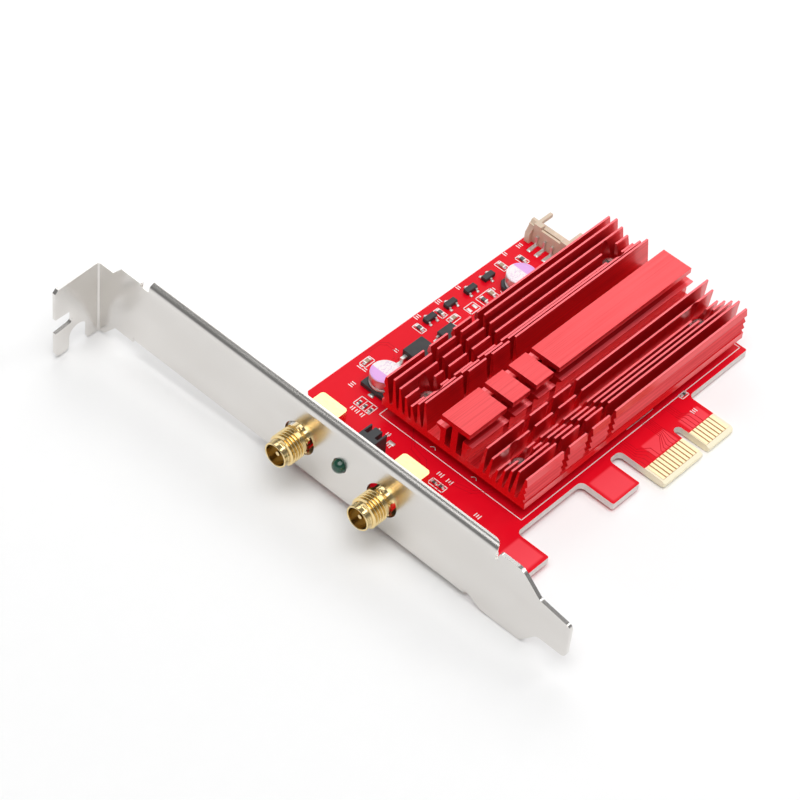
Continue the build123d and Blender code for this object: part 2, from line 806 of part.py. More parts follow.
def make_thermal_pad():
    """Soft pad that fills the gap between the shield and the heatsink."""
    return middle_block(radio_length - 2 * pad_margin, radio_width - 2 * pad_margin, radio_top, sink_z0)


def header_pin_places():
    """Y of each header pin."""
    first = header_y - header_pitch * (header_pins_count - 1) / 2
    return [first + header_pitch * i for i in range(header_pins_count)]


def make_header_housing():
    """Shroud open towards the board's far end: grooved back wall between two posts, arms and sloped feet."""
    half = header_width / 2
    back_x1 = header_back_x + header_back_t
    middle_z = header_height - header_middle_drop
    shell = box(header_back_x, back_x1, header_y - half, header_y + half, 0, middle_z)
    shell += box(back_x1, header_front_x, header_y - half, header_y + half, 0, header_floor_t)
    ear_x = header_back_x - header_ear_depth
    ear = area((ear_x, 0), (back_x1, 0), (back_x1, header_height),
               (header_back_x + header_ear_top, header_height), (ear_x, header_ear_height))
    arm_out = half - header_wall_t
    post_in = arm_out - header_post_w
    for side in (-1, 1):
        ends = sorted((header_y + side * arm_out, header_y + side * half))
        shell += prism_y(ear, *ends)
        post = sorted((header_y + side * post_in, header_y + side * arm_out))
        shell += box(header_back_x, back_x1, *post, 0, header_height)
        arm = sorted((header_y + side * (arm_out - header_arm_t), header_y + side * arm_out))
        shell += box(back_x1, header_front_x, *arm, header_height - header_arm_h, header_height)
    groove_x = header_back_x + header_groove_in
    shell -= box(groove_x, groove_x + header_groove_w, header_y - post_in, header_y + post_in,
                 middle_z - header_groove_depth, middle_z)
    half_pin = header_pin_w / 2
    for y in header_pin_places():
        shell -= box(header_back_x, back_x1, y - half_pin, y + half_pin, header_pin_z - half_pin,
                     header_pin_z + half_pin)
    return shell


def make_header_pins():
    """Square pins that run out of the back wall and down to flat feet on the board."""
    half_pin = header_pin_w / 2
    half_foot = header_foot_w / 2
    rear_x = header_back_x - header_pin_w
    tip_x = header_front_x - header_pin_tip
    pins = []
    for y in header_pin_places():
        pin = box(rear_x, tip_x, y - half_pin, y + half_pin, header_pin_z - half_pin, header_pin_z + half_pin)
        pin += box(rear_x, header_back_x, y - half_pin, y + half_pin, 0, header_pin_z)
        foot_x = header_back_x - header_foot_reach
        pins.append(pin + box(foot_x, header_back_x, y - half_foot, y + half_foot, 0, header_foot_t))
    return pins


def make_can(x, y):
    """Round metal can of a capacitor."""
    can = rod_z(x, y, terminal_t + cap_base_h, can_top, can_r)
    return fillet(can.edges().sort_by(Axis.Z)[-1], can_round)


def make_cap_base(x, y, side):
    """Square base with two cut corners on one side."""
    half = cap_base_w / 2
    cut = cap_base_corner
    points = ((-half, cut - half), (cut - half, -half), (half, -half), (half, half), (cut - half, half),
              (-half, half - cut))
    outline = area(*[(x + side * along, y + across) for along, across in points])
    return prism_z(outline, terminal_t, terminal_t + cap_base_h)


def make_terminals(x, y):
    """Two flat strips under a capacitor's base."""
    half = terminal_w / 2
    reach = cap_base_w / 2 + terminal_out
    return [box(x - reach, x - terminal_gap, y - half, y + half, 0, terminal_t),
            box(x + terminal_gap, x + reach, y - half, y + half, 0, terminal_t)]


def make_transistor_body(x):
    """Black body of a three-leg transistor."""
    half_l = transistor_l / 2
    half_w = transistor_w / 2
    return box(x - half_l, x + half_l, transistor_y - half_w, transistor_y + half_w, package_lift,
               package_lift + transistor_h)


def make_transistor_legs(x, side):
    """One leg on one side and two on the other."""
    leg = gull_leg(transistor_leg_z, transistor_leg_reach, transistor_leg_foot, transistor_leg_t,
                   transistor_leg_w)
    single_y = transistor_y + side * transistor_w / 2
    pair_y = transistor_y - side * transistor_w / 2
    half = transistor_leg_pitch / 2
    return [Pos(x, single_y, 0) * Rot(0, 0, side * 90) * leg,
            Pos(x - half, pair_y, 0) * Rot(0, 0, -side * 90) * leg,
            Pos(x + half, pair_y, 0) * Rot(0, 0, -side * 90) * leg]


def make_regulator_body():
    """Black body over the regulator's metal tab."""
    return box(regulator_x0, regulator_x1, regulator_y1 - regulator_w, regulator_y1,
               regulator_tab_t, regulator_top)


def make_regulator_legs():
    """Metal tab under the body and the two legs at its other end."""
    y = regulator_y1 - regulator_w / 2
    half = regulator_tab_w / 2
    tab = box(regulator_x0 + regulator_tab_in, regulator_x1 + regulator_tab_out, y - half, y + half,
              0, regulator_tab_t)
    leg = gull_leg(regulator_leg_z, regulator_leg_reach, regulator_leg_foot, regulator_leg_t, regulator_leg_w)
    legs = [Pos(regulator_x0, y + side * regulator_leg_pitch / 2, 0) * Rot(0, 0, 180) * leg
            for side in (-1, 1)]
    return [tab] + legs


def make_controller_body():
    """Black eight-leg package."""
    return box(controller_x0, controller_x0 + controller_l, controller_y1 - controller_w, controller_y1,
               package_lift, package_lift + controller_h)


def make_controller_legs():
    """Four legs on each end of the package."""
    leg = gull_leg(controller_leg_z, controller_leg_reach, controller_leg_foot, controller_leg_t,
                   controller_leg_w)
    middle = controller_y1 - controller_w / 2
    first = middle - controller_leg_pitch * (controller_legs_per_side - 1) / 2
    legs = []
    for i in range(controller_legs_per_side):
        y = first + controller_leg_pitch * i
        legs.append(Pos(controller_x0, y, 0) * Rot(0, 0, 180) * leg)
        legs.append(Pos(controller_x0 + controller_l, y, 0) * leg)
    return legs


def chip(place, length, width, height, end):
    """Chip part as its body and its two metal ends."""
    x, y, along_y = place
    spot = Pos(x, y, 0) * Rot(0, 0, 90 if along_y else 0)
    half = width / 2
    body = spot * box(end - length / 2, length / 2 - end, -half, half, 0, height)
    ends = [spot * box(-length / 2, end - length / 2, -half, half, 0, height),
            spot * box(length / 2 - end, length / 2, -half, half, 0, height)]
    return body, ends


os.makedirs("parts", exist_ok=True)

save("bracket", make_bracket())
save("bracket_screws", *make_bracket_screws())
save("board", make_board())
save("contacts_front", *make_contacts(0))
save("contacts_back", *make_contacts(board_z0 - contact_t))

for number, jack_y in enumerate(jack_places, 1):
    save(f"jack_block_{number}", make_jack_block(jack_y))
    save(f"jack_barrel_{number}", make_jack_barrel(jack_y))
    save(f"jack_insulator_{number}", make_jack_insulator(jack_y))
    save(f"jack_pin_{number}", make_jack_pin(jack_y))

save("lamp_lens", make_lamp_lens())
save("lamp_holder", make_lamp_holder())
save("lamp_leads", *make_lamp_leads())

save("heatsink", make_heatsink())
save("heatsink_screws", *make_sink_screws())
save("heatsink_standoffs", *make_standoffs())
save("thermal_pad", make_thermal_pad())
save("radio_board", middle_block(radio_length, radio_width, 0, radio_board_t))
save("radio_chip", middle_block(radio_chip_w, radio_chip_w, radio_board_t, radio_board_t + radio_chip_h))
save("radio_shield", make_shield())

save("header_housing", make_header_housing())
save("header_pins", *make_header_pins())

for number, (share, side) in enumerate(capacitor_places, 1):
    x = sink_x0 + share * sink_length
    save(f"capacitor_can_{number}", make_can(x, capacitor_y))
    save(f"capacitor_base_{number}", make_cap_base(x, capacitor_y, side))
    save(f"capacitor_terminals_{number}", *make_terminals(x, capacitor_y))

for number, (share, side) in enumerate(transistor_places, 1):
    x = sink_x0 + share * sink_length
    save(f"transistor_body_{number}", make_transistor_body(x))
    save(f"transistor_legs_{number}", *make_transistor_legs(x, side))

save("regulator_body", make_regulator_body())
save("regulator_legs", *make_regulator_legs())
save("controller_body", make_controller_body())
save("controller_legs", *make_controller_legs())


def strip_chips(places):
    """Chip parts on the strip beside the heatsink."""
    return [chip((sink_x0 + share * sink_length, strip_y + out, along_y), chip_l, chip_w, chip_h, chip_end)
            for share, out, along_y in places]


resistors = strip_chips(resistor_places)
capacitors = strip_chips(capacitor_chip_places)
small_chips = [chip(place, small_chip_l, small_chip_w, small_chip_h, small_chip_end)
               for place in small_chip_places]
save("chip_resistors", *[body for body, ends in resistors + small_chips])
save("chip_capacitors", *[body for body, ends in capacitors])
save("chip_ends", *[end for body, ends in resistors + capacitors + small_chips for end in ends])
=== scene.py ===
import bmesh
import bpy
import math
from mathutils import Matrix, Vector


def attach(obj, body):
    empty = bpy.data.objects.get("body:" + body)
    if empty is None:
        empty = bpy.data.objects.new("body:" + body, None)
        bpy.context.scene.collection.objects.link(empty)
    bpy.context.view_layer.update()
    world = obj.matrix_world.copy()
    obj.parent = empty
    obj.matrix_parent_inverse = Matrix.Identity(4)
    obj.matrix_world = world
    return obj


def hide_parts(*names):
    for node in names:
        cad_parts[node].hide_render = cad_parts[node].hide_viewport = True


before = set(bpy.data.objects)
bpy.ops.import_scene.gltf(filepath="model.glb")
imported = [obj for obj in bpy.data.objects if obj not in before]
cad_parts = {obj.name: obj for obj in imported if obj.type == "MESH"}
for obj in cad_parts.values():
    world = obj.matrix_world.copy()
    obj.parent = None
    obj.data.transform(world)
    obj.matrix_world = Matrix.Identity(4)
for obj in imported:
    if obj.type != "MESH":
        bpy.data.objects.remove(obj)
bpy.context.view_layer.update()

# The circuit board: glass-cloth laminate with copper on both sides under a red solder mask. It is
# routed to shape in one piece with the card edge, the hook and the foot, so its sides show the
# bare laminate, and the card edge is bevelled and bare round the contacts.
MM = 0.001
mask_red = (0.80, 0.003, 0.016)
mask_pale = (0.95, 0.075, 0.10)
mask_gloss = 0.12
laminate_dark = (0.66, 0.58, 0.56)
laminate_light = (0.86, 0.80, 0.77)
bevel_cream = (0.95, 0.88, 0.66)
contact_gap = (0.42, 0.20, 0.07)
card_edge_x = (46.3, 67.5)
contact_y = (-0.1, 4.25)
contact_rows_x = ((47.0, 57.0), (60.0, 66.0))
bevel_y = (0.0, -0.1)
pale_end_y = (6.5, 3.5)
# Fields of thinner mask: along X, along Y, and how soft their edges are.
pale_fields = (((10.2, 16.2), (3.2, 9.2), 0.25), ((36.0, 42.4), (3.0, 9.0), 0.25),
               ((50.4, 57.0), (4.6, 8.3), 0.2), ((60.7, 66.4), (4.4, 7.6), 0.2))


class Value:
    """A number or colour inside a shader, so that sums can be written as sums."""

    def __init__(self, nodes, socket):
        self.nodes = nodes
        self.socket = socket

    def of(self, output):
        return Value(self.nodes, self.socket.node.outputs[output])

    def math(self, operation, *others):
        sockets = dict(enumerate((self,) + others))
        return self.nodes.node("ShaderNodeMath", {"operation": operation}, sockets)

    def __add__(self, other):
        return self.math("ADD", other)

    def __sub__(self, other):
        return self.math("SUBTRACT", other)

    def __mul__(self, other):
        return self.math("MULTIPLY", other)

    def __rsub__(self, other):
        return self * -1 + other

    def __gt__(self, other):
        return self.math("GREATER_THAN", other)

    def __lt__(self, other):
        return self.math("LESS_THAN", other)

    def __abs__(self):
        return self.math("ABSOLUTE")

    __radd__ = __add__
    __rmul__ = __mul__


class Nodes:
    """A tree of shader nodes, with one way to add a node to it."""

    def __init__(self, tree):
        self.tree = tree

    def node(self, kind, settings=(), sockets=()):
        made = self.tree.nodes.new(kind)
        for name, value in dict(settings).items():
            setattr(made, name, value)
        self.fill(made, dict(sockets))
        return Value(self, made.outputs[0])

    def fill(self, made, sockets):
        for key, value in sockets.items():
            socket = made.inputs[key]
            if isinstance(value, Value):
                self.tree.links.new(value.socket, socket)
            else:
                socket.default_value = (*value, 1) if socket.type == "RGBA" else value

    def axes(self, vector):
        split = self.node("ShaderNodeSeparateXYZ", {}, {0: vector})
        return split.of("X"), split.of("Y"), split.of("Z")


class Finish(Nodes):
    """A material worked out from the place on the piece, in millimetres."""

    def __init__(self, name, sockets):
        self.material = bpy.data.materials.new(name)
        self.material.use_nodes = True
        super().__init__(self.material.node_tree)
        place = {0: self.node("ShaderNodeTexCoord").of("Object"), "Scale": 1 / MM}
        self.place = self.node("ShaderNodeVectorMath", {"operation": "SCALE"}, place)
        self.x, self.y, self.z = self.axes(self.place)
        self.paint(sockets)

    def paint(self, sockets):
        self.fill(self.tree.nodes["Principled BSDF"], sockets)

    def facing(self):
        """The three parts of the way the surface faces."""
        return self.axes(self.node("ShaderNodeNewGeometry").of("Normal"))

    def mix(self, share, first, second):
        colours = {0: share, 6: first, 7: second}
        return self.node("ShaderNodeMix", {"data_type": "RGBA"}, colours).of(2)

    def ramp(self, value, start, end):
        """Rises from 0 at the start to 1 at the end."""
        return self.node("ShaderNodeMapRange", {"clamp": True}, {0: value, 1: start, 2: end})

    def between(self, value, low, high, soft):
        return self.ramp(value, low - soft, low + soft) * self.ramp(value, high + soft, high - soft)

    def noise(self, sizes, detail=2.0):
        """Cloudy variation from 0 to 1, with patches of these sizes along X, Y and Z."""
        scaled = self.node("ShaderNodeVectorMath", {"operation": "DIVIDE"}, {0: self.place, 1: sizes})
        return self.node("ShaderNodeTexNoise", {}, {"Vector": scaled, "Scale": 1.0, "Detail": detail})

    def relief(self, height, depth, strength):
        sockets = {"Strength": strength, "Distance": depth * MM, "Height": height}
        return self.node("ShaderNodeBump", {}, sockets)


def dress(finish, *nodes):
    """Gives CAD pieces a finish."""
    for name in nodes:
        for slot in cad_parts[name].material_slots:
            slot.material = finish.material


mask = Finish("solder_mask", {"Specular IOR Level": mask_gloss})
cut = abs(mask.facing()[2]) < 0.6
clouds = mask.noise((9, 9, 9), 3.0)
weave = mask.noise((0.7, 0.35, 0.2), 3.0)
fields = sum(mask.between(mask.x, *along, soft) * mask.between(mask.y, *across, soft)
             for along, across, soft in pale_fields)
red = mask.mix(mask.ramp(fields * 0.85 + (clouds - 0.5) * 0.2, 0.0, 1.0), mask_red, mask_pale)
card_edge = mask.between(mask.x, *card_edge_x, 0.05)
bare = card_edge * mask.between(mask.y, *contact_y, 0.05)
gaps = sum(mask.between(mask.x, *row, 0.1) for row in contact_rows_x)
uncoated = mask.mix(gaps, bevel_cream, contact_gap)
bevel = card_edge * mask.ramp(mask.y, *bevel_y)
face = mask.mix(bevel, mask.mix(bare, red, uncoated), bevel_cream)
pale_end = card_edge * mask.ramp(mask.y, *pale_end_y)
side = mask.mix(pale_end, mask.mix(weave, laminate_dark, laminate_light), bevel_cream)
mask.paint({"Base Color": mask.mix(cut, face, side), "Roughness": 0.34 + 0.3 * cut,
            "Normal": mask.relief(weave, 0.02, 0.25)})
dress(mask, "board")

# The edge contacts: hard gold plated on copper on both sides of the card edge. They slide along
# the slot's springs, so they carry fine scratches along the way in.
gold = Finish("contact_gold", {"Metallic": 1.0})
scratches = gold.noise((0.08, 6, 1), 3.0)
gold.paint({"Base Color": gold.mix(scratches, (0.95, 0.76, 0.42), (1.0, 0.91, 0.64)),
            "Roughness": 0.24 + 0.2 * scratches, "Normal": gold.relief(scratches, 0.004, 0.5)})
dress(gold, "contacts_front", "contacts_back")

# The copper tracks under the solder mask: they stand up a little, so the mask is seen a shade
# darker over them. Bundles leave the contacts, two pairs of antenna lines leave the first jack, and
# two lines turn back near the long edge.
film_low, film_high = -0.01, 0.02
track_start = 4.3
# Bundles from the contacts: first contact, count, where they gather and how far apart, their two
# bends with the rise from track to track, their end and their width.
track_bundles = ((47.35, 5, 47.0, 0.55, (5.6, 0.3), (7.2, 0.3), 11.6, 0.16),
                 (52.35, 6, 55.0, 0.42, (5.0, 0.2), (7.6, 0.1), 12.5, 0.14),
                 (61.35, 4, 61.2, 0.50, (7.2, 0.0), (8.4, 0.0), 11.6, 0.16))
antenna_w = 0.16
antenna_spacing = 0.9
loop_w = 0.14
track_finish = Finish("covered_track", {"Roughness": 0.32, "Specular IOR Level": mask_gloss})
shade = track_finish.noise((3, 3, 3))
track_finish.paint({"Base Color": track_finish.mix(shade, (0.62, 0.003, 0.012), (0.70, 0.006, 0.020))})
tracks = bmesh.new()


def stroke(mesh, start, end, width):
    """A flat bar between two places on the board."""
    start, end = Vector(start), Vector(end)
    along = end - start
    size = Matrix.Diagonal((along.length + width, width, film_high - film_low, 1))
    turn = Matrix.Rotation(math.atan2(along.y, along.x), 4, "Z")
    middle = (start + end) / 2
    shift = Matrix.Translation((middle.x, middle.y, (film_low + film_high) / 2))
    bmesh.ops.create_cube(mesh, size=1.0, matrix=Matrix.Scale(MM, 4) @ shift @ turn @ size)


def path(mesh, points, width):
    for start, end in zip(points, points[1:]):
        stroke(mesh, start, end, width)


def piece(name, mesh, finish, replaced=(), crease=14):
    """A finished object of a mesh, fixed to the card."""
    bmesh.ops.recalc_face_normals(mesh, faces=mesh.faces)
    data = bpy.data.meshes.new(name)
    mesh.to_mesh(data)
    mesh.free()
    data.materials.append(finish.material)
    data.shade_smooth()
    data.set_sharp_from_angle(angle=math.radians(crease))
    made = bpy.data.objects.new(name, data)
    bpy.context.scene.collection.objects.link(made)
    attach(made, "root")
    if replaced:
        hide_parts(*replaced)


for contact, count, gather, step, low, high, end, width in track_bundles:
    for number in range(count):
        start, x = contact + number, gather + step * number
        path(tracks, ((start, track_start), (start, low[0] + low[1] * number),
                      (x, high[0] + high[1] * number), (x, end)), width)
for aside in (0.0, antenna_spacing):
    path(tracks, ((9.5, 31.5 + aside), (15.5 - aside, 31.5 + aside), (17.9 - aside, 33.9 + aside),
                  (18.6 - aside, 37.6), (22, 41.0)), antenna_w)
    path(tracks, ((9.5, 27.4 + aside), (14.2, 27.4 + aside), (16.6 + aside, 27.2),
                  (17.8 + aside, 22.6), (22, 19.0 + aside)), antenna_w)
path(tracks, ((30.4, 60.4), (33.2, 60.4), (34.2, 59.4), (34.2, 57.6), (32.6, 56.0), (30.2, 56.0)), loop_w)
path(tracks, ((29.2, 60.9), (33.6, 60.9), (34.9, 59.6), (34.9, 57.2), (33.0, 55.3), (30.2, 55.3)), loop_w)
piece("board_tracks", tracks, track_finish)

# The white print on the board: a frame under the heatsink, boxes round the small parts and short
# bars beside them. It is screen-printed ink that lies on the mask, a little pink where it is thin.
line_w = 0.17
fine_line_w = 0.14
inner_line_w = 0.12
mark_w = 0.16
bar_w = 0.2
bar_pitch = 0.52
bar_reaches = (0.45, 0.32, 0.4)
sink_frame = (19.8, 11.75, 85.0, 47.85)
chip_frame = (18.3, 49.2, 20.8, 53.3)
chip_frame_rungs = (50.3, 51.7)
# Boxes: middle, and size along X and Y.
boxes = ((14.75, 28.2, 1.6, 3.6), (42.17, 58.15, 1.5, 2.6), (48.27, 58.2, 1.5, 2.6),
         (49.1, 55.4, 2.7, 1.6), (58.5, 54.8, 4.2, 2.8), (54.0, 54.9, 2.8, 2.2), (71.6, 57.2, 1.6, 2.6),
         (67.2, 58.8, 1.6, 2.7), (28.1, 58.9, 2.8, 1.6), (66.8, 11.25, 2.0, 1.2))
# Labels: middle and number of bars, with the row along X or along Y.
labels_along_x = ((21.7, 56.8, 3), (34.45, 57.2, 2), (26.2, 59.0, 2), (26.25, 57.8, 2), (74.3, 60.3, 3),
                  (70.3, 60.7, 2), (65.0, 7.2, 3), (44.2, 60.6, 3), (50.4, 60.6, 3), (56.2, 60.6, 2),
                  (61.0, 55.6, 2))
labels_along_y = ((17.3, 52.5, 2), (17.3, 51.3, 2), (17.3, 50.0, 2), (17.1, 29.6, 3), (17.0, 27.2, 3),
                  (15.4, 41.3, 3), (47.0, 54.6, 2), (17.3, 43.2, 2), (14.6, 18.0, 3))
frame_marks_y = (35.0, 24.6)
can_places = ((25.85, 52.22), (65.2, 52.22))
can_ring_r = 4.0
ink = Finish("white_ink", {"Roughness": 0.55})
patchy = ink.noise((0.5, 0.5, 0.5), 3.0)
ink.paint({"Base Color": ink.mix(patchy, (0.86, 0.80, 0.80), (0.97, 0.95, 0.94))})
printed = bmesh.new()


def outline(mesh, x0, y0, x1, y1):
    path(mesh, ((x0, y0), (x1, y0), (x1, y1), (x0, y1), (x0, y0)), line_w)


def bars(mesh, x, y, count, along):
    """Short bars in a row, where a printed label stands on the board."""
    along = Vector(along)
    for number in range(count):
        middle = Vector((x, y)) + along * bar_pitch * (number - (count - 1) / 2)
        reach = Vector((along.y, along.x)) * bar_reaches[number % 3]
        stroke(mesh, middle - reach, middle + reach, bar_w)


outline(printed, *sink_frame)
path(printed, ((51.7, 12.95), (59.5, 12.95)), fine_line_w)
outline(printed, *chip_frame)
for y in chip_frame_rungs:
    path(printed, ((chip_frame[0], y), (chip_frame[2], y)), inner_line_w)
for x, y, along, across in boxes:
    outline(printed, x - along / 2, y - across / 2, x + along / 2, y + across / 2)
for label in labels_along_x:
    bars(printed, *label, (1, 0))
for label in labels_along_y:
    bars(printed, *label, (0, 1))
for y in frame_marks_y:
    path(printed, ((20.9, y - 0.6), (21.3, y - 0.25), (21.3, y + 0.25), (20.9, y + 0.6)), mark_w)
ring_x, ring_y = can_places[1]
arc = [math.radians(150 + 15 * number) for number in range(9)]
ring = [(ring_x + can_ring_r * math.cos(turn), ring_y + can_ring_r * math.sin(turn)) for turn in arc]
path(printed, ring, mark_w)
piece("board_print", printed, ink)

# The solder: a low mound of tin alloy on every pad, printed as paste and melted in an oven, so that it
# draws up against the foot that stands in it. The legs, feet, pins and leads are tinned alike.
drawn_in = 0.62
sunk_in = 0.02
round_share = 0.3
# Pads: the parts' places, the pads' offsets from each, and a mound's width, depth and height.
pads = (
    (((45.4, 58.4), (51.4, 58.4), (57.3, 58.4)), ((0, 1.2), (-0.95, -1.2), (0.95, -1.2)), (0.8, 0.75, 0.3)),
    (((62.6, 58.4),), ((0, -1.2), (-0.95, 1.2), (0.95, 1.2)), (0.8, 0.75, 0.3)),
    (((42.17, 58.15), (48.27, 58.2), (57.3, 54.75), (71.6, 57.2), (59.7, 54.85), (67.2, 58.8)),
     ((0, -0.95), (0, 0.95)), (0.85, 0.5, 0.28)),
    (((49.1, 55.4), (28.1, 58.9)), ((-0.95, 0), (0.95, 0)), (0.5, 0.85, 0.28)),
    (((54.0, 54.9),), ((-0.8, 0), (0.8, 0)), (0.8, 1.3, 0.1)),
    (((19.05, 52.4), (19.1, 51.0), (19.15, 49.6), (66.8, 11.25)), ((-0.65, 0), (0.65, 0)), (0.4, 0.6, 0.22)),
    (((14.7, 29.0), (14.8, 27.4)), ((0, -0.65), (0, 0.65)), (0.6, 0.4, 0.22)),
    (can_places, ((-3.75, 0), (3.75, 0)), (0.9, 1.5, 0.3)),
    (((75.0, 55.05),), ((0, -3), (0, -1), (0, 1), (0, 3)), (1.6, 1.15, 0.22)),
    (((31.4, 51.87),), ((0, -2.28), (0, 2.28)), (2.4, 1.5, 0.4)),
    (((41.9, 49.95), (47.8, 49.95)), ((0, 0), (0, 1.27), (0, 2.54), (0, 3.81)), (0.9, 0.65, 0.22)),
    (((16.1, 41.2),), ((0, 0),), (1.0, 1.7, 0.2)),
    (((17.3, 42.9),), ((0, 0),), (0.6, 0.6, 0.2)),
    (((17.1, 45.2),), ((0, 0),), (0.45, 0.45, 0.2)),
)
tin = Finish("tin", {"Metallic": 1.0})
ripple = tin.noise((0.35, 0.35, 0.35), 2.0)
tin.paint({"Base Color": tin.mix(ripple, (0.70, 0.68, 0.66), (0.90, 0.89, 0.87)),
           "Roughness": 0.36 + 0.2 * ripple, "Normal": tin.relief(ripple, 0.03, 0.4)})
joints = bmesh.new()


def rounded(mesh, edges, width, segments):
    bmesh.ops.bevel(mesh, geom=edges, offset=width * MM, offset_type="OFFSET", segments=segments,
                    profile=0.5, affect="EDGES", clamp_overlap=True, material=-1)


def mound(mesh, x, y, width, depth, height):
    """A rounded pad of solder with its top drawn in."""
    size = Matrix.Diagonal((width * MM, depth * MM, height * MM, 1))
    shift = Matrix.Translation(Vector((x, y, height / 2 - sunk_in)) * MM)
    verts = bmesh.ops.create_cube(mesh, size=1.0, matrix=shift @ size)["verts"]
    top = [vert for vert in verts if vert.co.z > height / 2 * MM]
    draw = Matrix.Diagonal((drawn_in, drawn_in, 1, 1))
    bmesh.ops.transform(mesh, matrix=draw, space=Matrix.Translation(-Vector((x, y, 0)) * MM), verts=top)
    edges = list({edge for vert in verts for edge in vert.link_edges})
    rounded(mesh, edges, min(width, depth, 2 * height) * round_share, 3)


for places, offsets, size in pads:
    for x, y in places:
        for aside, along in offsets:
            mound(joints, x + aside, y + along, *size)
piece("solder_joints", joints, tin, crease=60)
dress(tin, "transistor_legs_1", "transistor_legs_2", "transistor_legs_3", "transistor_legs_4",
      "regulator_legs", "controller_legs", "capacitor_terminals_1", "capacitor_terminals_2", "chip_ends",
      "header_pins", "lamp_leads")

# The moulded packages: transistors, regulator and controller. Black filled epoxy with the fine
# grain of the mould, and rounded a little along every edge.
package_round = 0.12
weld = 0.0005
flat_angle = math.radians(1)
sharp_angle = math.radians(40)
epoxy = Finish("black_epoxy", {})
grain = epoxy.noise((0.12, 0.12, 0.12), 3.0)
wear = epoxy.noise((1.6, 1.6, 1.6))
epoxy.paint({"Base Color": epoxy.mix(wear, (0.020, 0.020, 0.022), (0.045, 0.045, 0.048)),
             "Roughness": 0.42 + 0.2 * grain, "Normal": epoxy.relief(grain, 0.02, 0.5)})


def softened(nodes, width):
    """One mesh of CAD pieces with their sharp edges rounded."""
    mesh = bmesh.new()
    for name in nodes:
        mesh.from_mesh(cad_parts[name].data)
    bmesh.ops.remove_doubles(mesh, verts=mesh.verts, dist=weld * MM)
    bmesh.ops.dissolve_limit(mesh, angle_limit=flat_angle, verts=mesh.verts, edges=mesh.edges)
    sharp = [edge for edge in mesh.edges
             if len(edge.link_faces) == 2 and edge.calc_face_angle() > sharp_angle]
    rounded(mesh, sharp, width, 2)
    return mesh


packages = ["transistor_body_1", "transistor_body_2", "transistor_body_3", "transistor_body_4",
            "regulator_body", "controller_body"]
piece("black_packages", softened(packages, package_round), epoxy, packages)

# The chip parts: ceramic blocks with tinned ends. The resistors have a dark glazed top, and the
# capacitors are bare tan ceramic.
chip_round = 0.05
glaze = Finish("black_glaze", {"Coat Weight": 0.3})
flecks = glaze.noise((0.3, 0.3, 0.3))
glaze.paint({"Base Color": glaze.mix(flecks, (0.045, 0.042, 0.040), (0.11, 0.10, 0.092)),
             "Roughness": 0.3 + 0.2 * flecks})
piece("resistor_bodies", softened(["chip_resistors"], chip_round), glaze, ["chip_resistors"])
ceramic = Finish("tan_ceramic", {"Roughness": 0.4})
pores = ceramic.noise((0.25, 0.25, 0.25), 3.0)
ceramic.paint({"Base Color": ceramic.mix(pores, (0.36, 0.24, 0.15), (0.50, 0.36, 0.24))})
piece("capacitor_chips", softened(["chip_capacitors"], chip_round), ceramic, ["chip_capacitors"])

# The round capacitors: a drawn aluminium can, crimped in over its seal, on a black plastic base.
# The top is coated white, with a lilac field on the negative side and faint printed marks.
coat_white = (0.93, 0.90, 0.92)
coat_lilac = (0.78, 0.43, 0.86)
mark_violet = (0.62, 0.35, 0.66)
negative_sides = (-1, 1)
coat_z = (4.0, 4.05)
lilac_edge = (0.55, 0.7)
marks_y = (50.4, 54.0)
base_round = 0.1
# The can's outline, as height and radius.
can_profile = ((1.2, 0.0), (1.2, 3.0), (1.25, 3.1), (1.4, 3.15), (1.62, 3.15), (1.76, 3.08), (1.84, 2.98),
               (1.94, 2.98), (2.04, 3.08), (2.18, 3.15), (3.86, 3.15), (4.04, 3.1), (4.15, 2.98),
               (4.2, 2.82), (4.17, 2.7), (4.1, 2.62), (4.08, 2.5), (4.08, 0.0))
round_steps = 64
plastic = Finish("black_plastic", {})
mottle = plastic.noise((0.5, 0.5, 0.5), 3.0)
plastic.paint({"Base Color": plastic.mix(mottle, (0.022, 0.023, 0.026), (0.04, 0.042, 0.048)),
               "Roughness": 0.4 + 0.15 * mottle})


def turned(mesh, profile, centre, axis, across):
    """Spins a profile of (along, radius) pairs into a closed turned shape."""
    centre, axis, across = Vector(centre) * MM, Vector(axis), Vector(across)
    verts = [mesh.verts.new(centre + (axis * along + across * radius) * MM) for along, radius in profile]
    edges = [mesh.edges.new(pair) for pair in zip(verts, verts[1:])]
    bmesh.ops.spin(mesh, geom=verts + edges, cent=centre, axis=axis, dvec=(0, 0, 0), angle=math.tau,
                   steps=round_steps, use_merge=True, use_duplicate=False)
    bmesh.ops.remove_doubles(mesh, verts=mesh.verts, dist=0.001 * MM)


for number, ((can_x, can_y), negative) in enumerate(zip(can_places, negative_sides), 1):
    shell = Finish(f"can_{number}", {})
    brushed = shell.noise((0.15, 0.15, 4), 2.0)
    top = shell.ramp(shell.z, *coat_z) * (shell.facing()[2] > 0.5)
    field = shell.ramp((shell.x - can_x) * negative, *lilac_edge)
    specks = shell.between(shell.noise((0.35, 0.22, 9), 1.0), 0.56, 0.8, 0.02)
    marks = specks * shell.between(shell.y, *marks_y, 0.2)
    coat = shell.mix(field, shell.mix(marks * 0.4, coat_white, mark_violet), coat_lilac)
    metal = shell.mix(brushed, (0.72, 0.68, 0.68), (0.92, 0.90, 0.90))
    shell.paint({"Base Color": shell.mix(top, metal, coat), "Metallic": 1 - top,
                 "Roughness": 0.40 + 0.07 * top})
    can = bmesh.new()
    turned(can, can_profile, (can_x, can_y, 0), (0, 0, 1), (1, 0, 0))
    piece(f"capacitor_{number}", can, shell, [f"capacitor_can_{number}"], 40)
bases = ["capacitor_base_1", "capacitor_base_2"]
piece("capacitor_bases", softened(bases, base_round), plastic, bases)

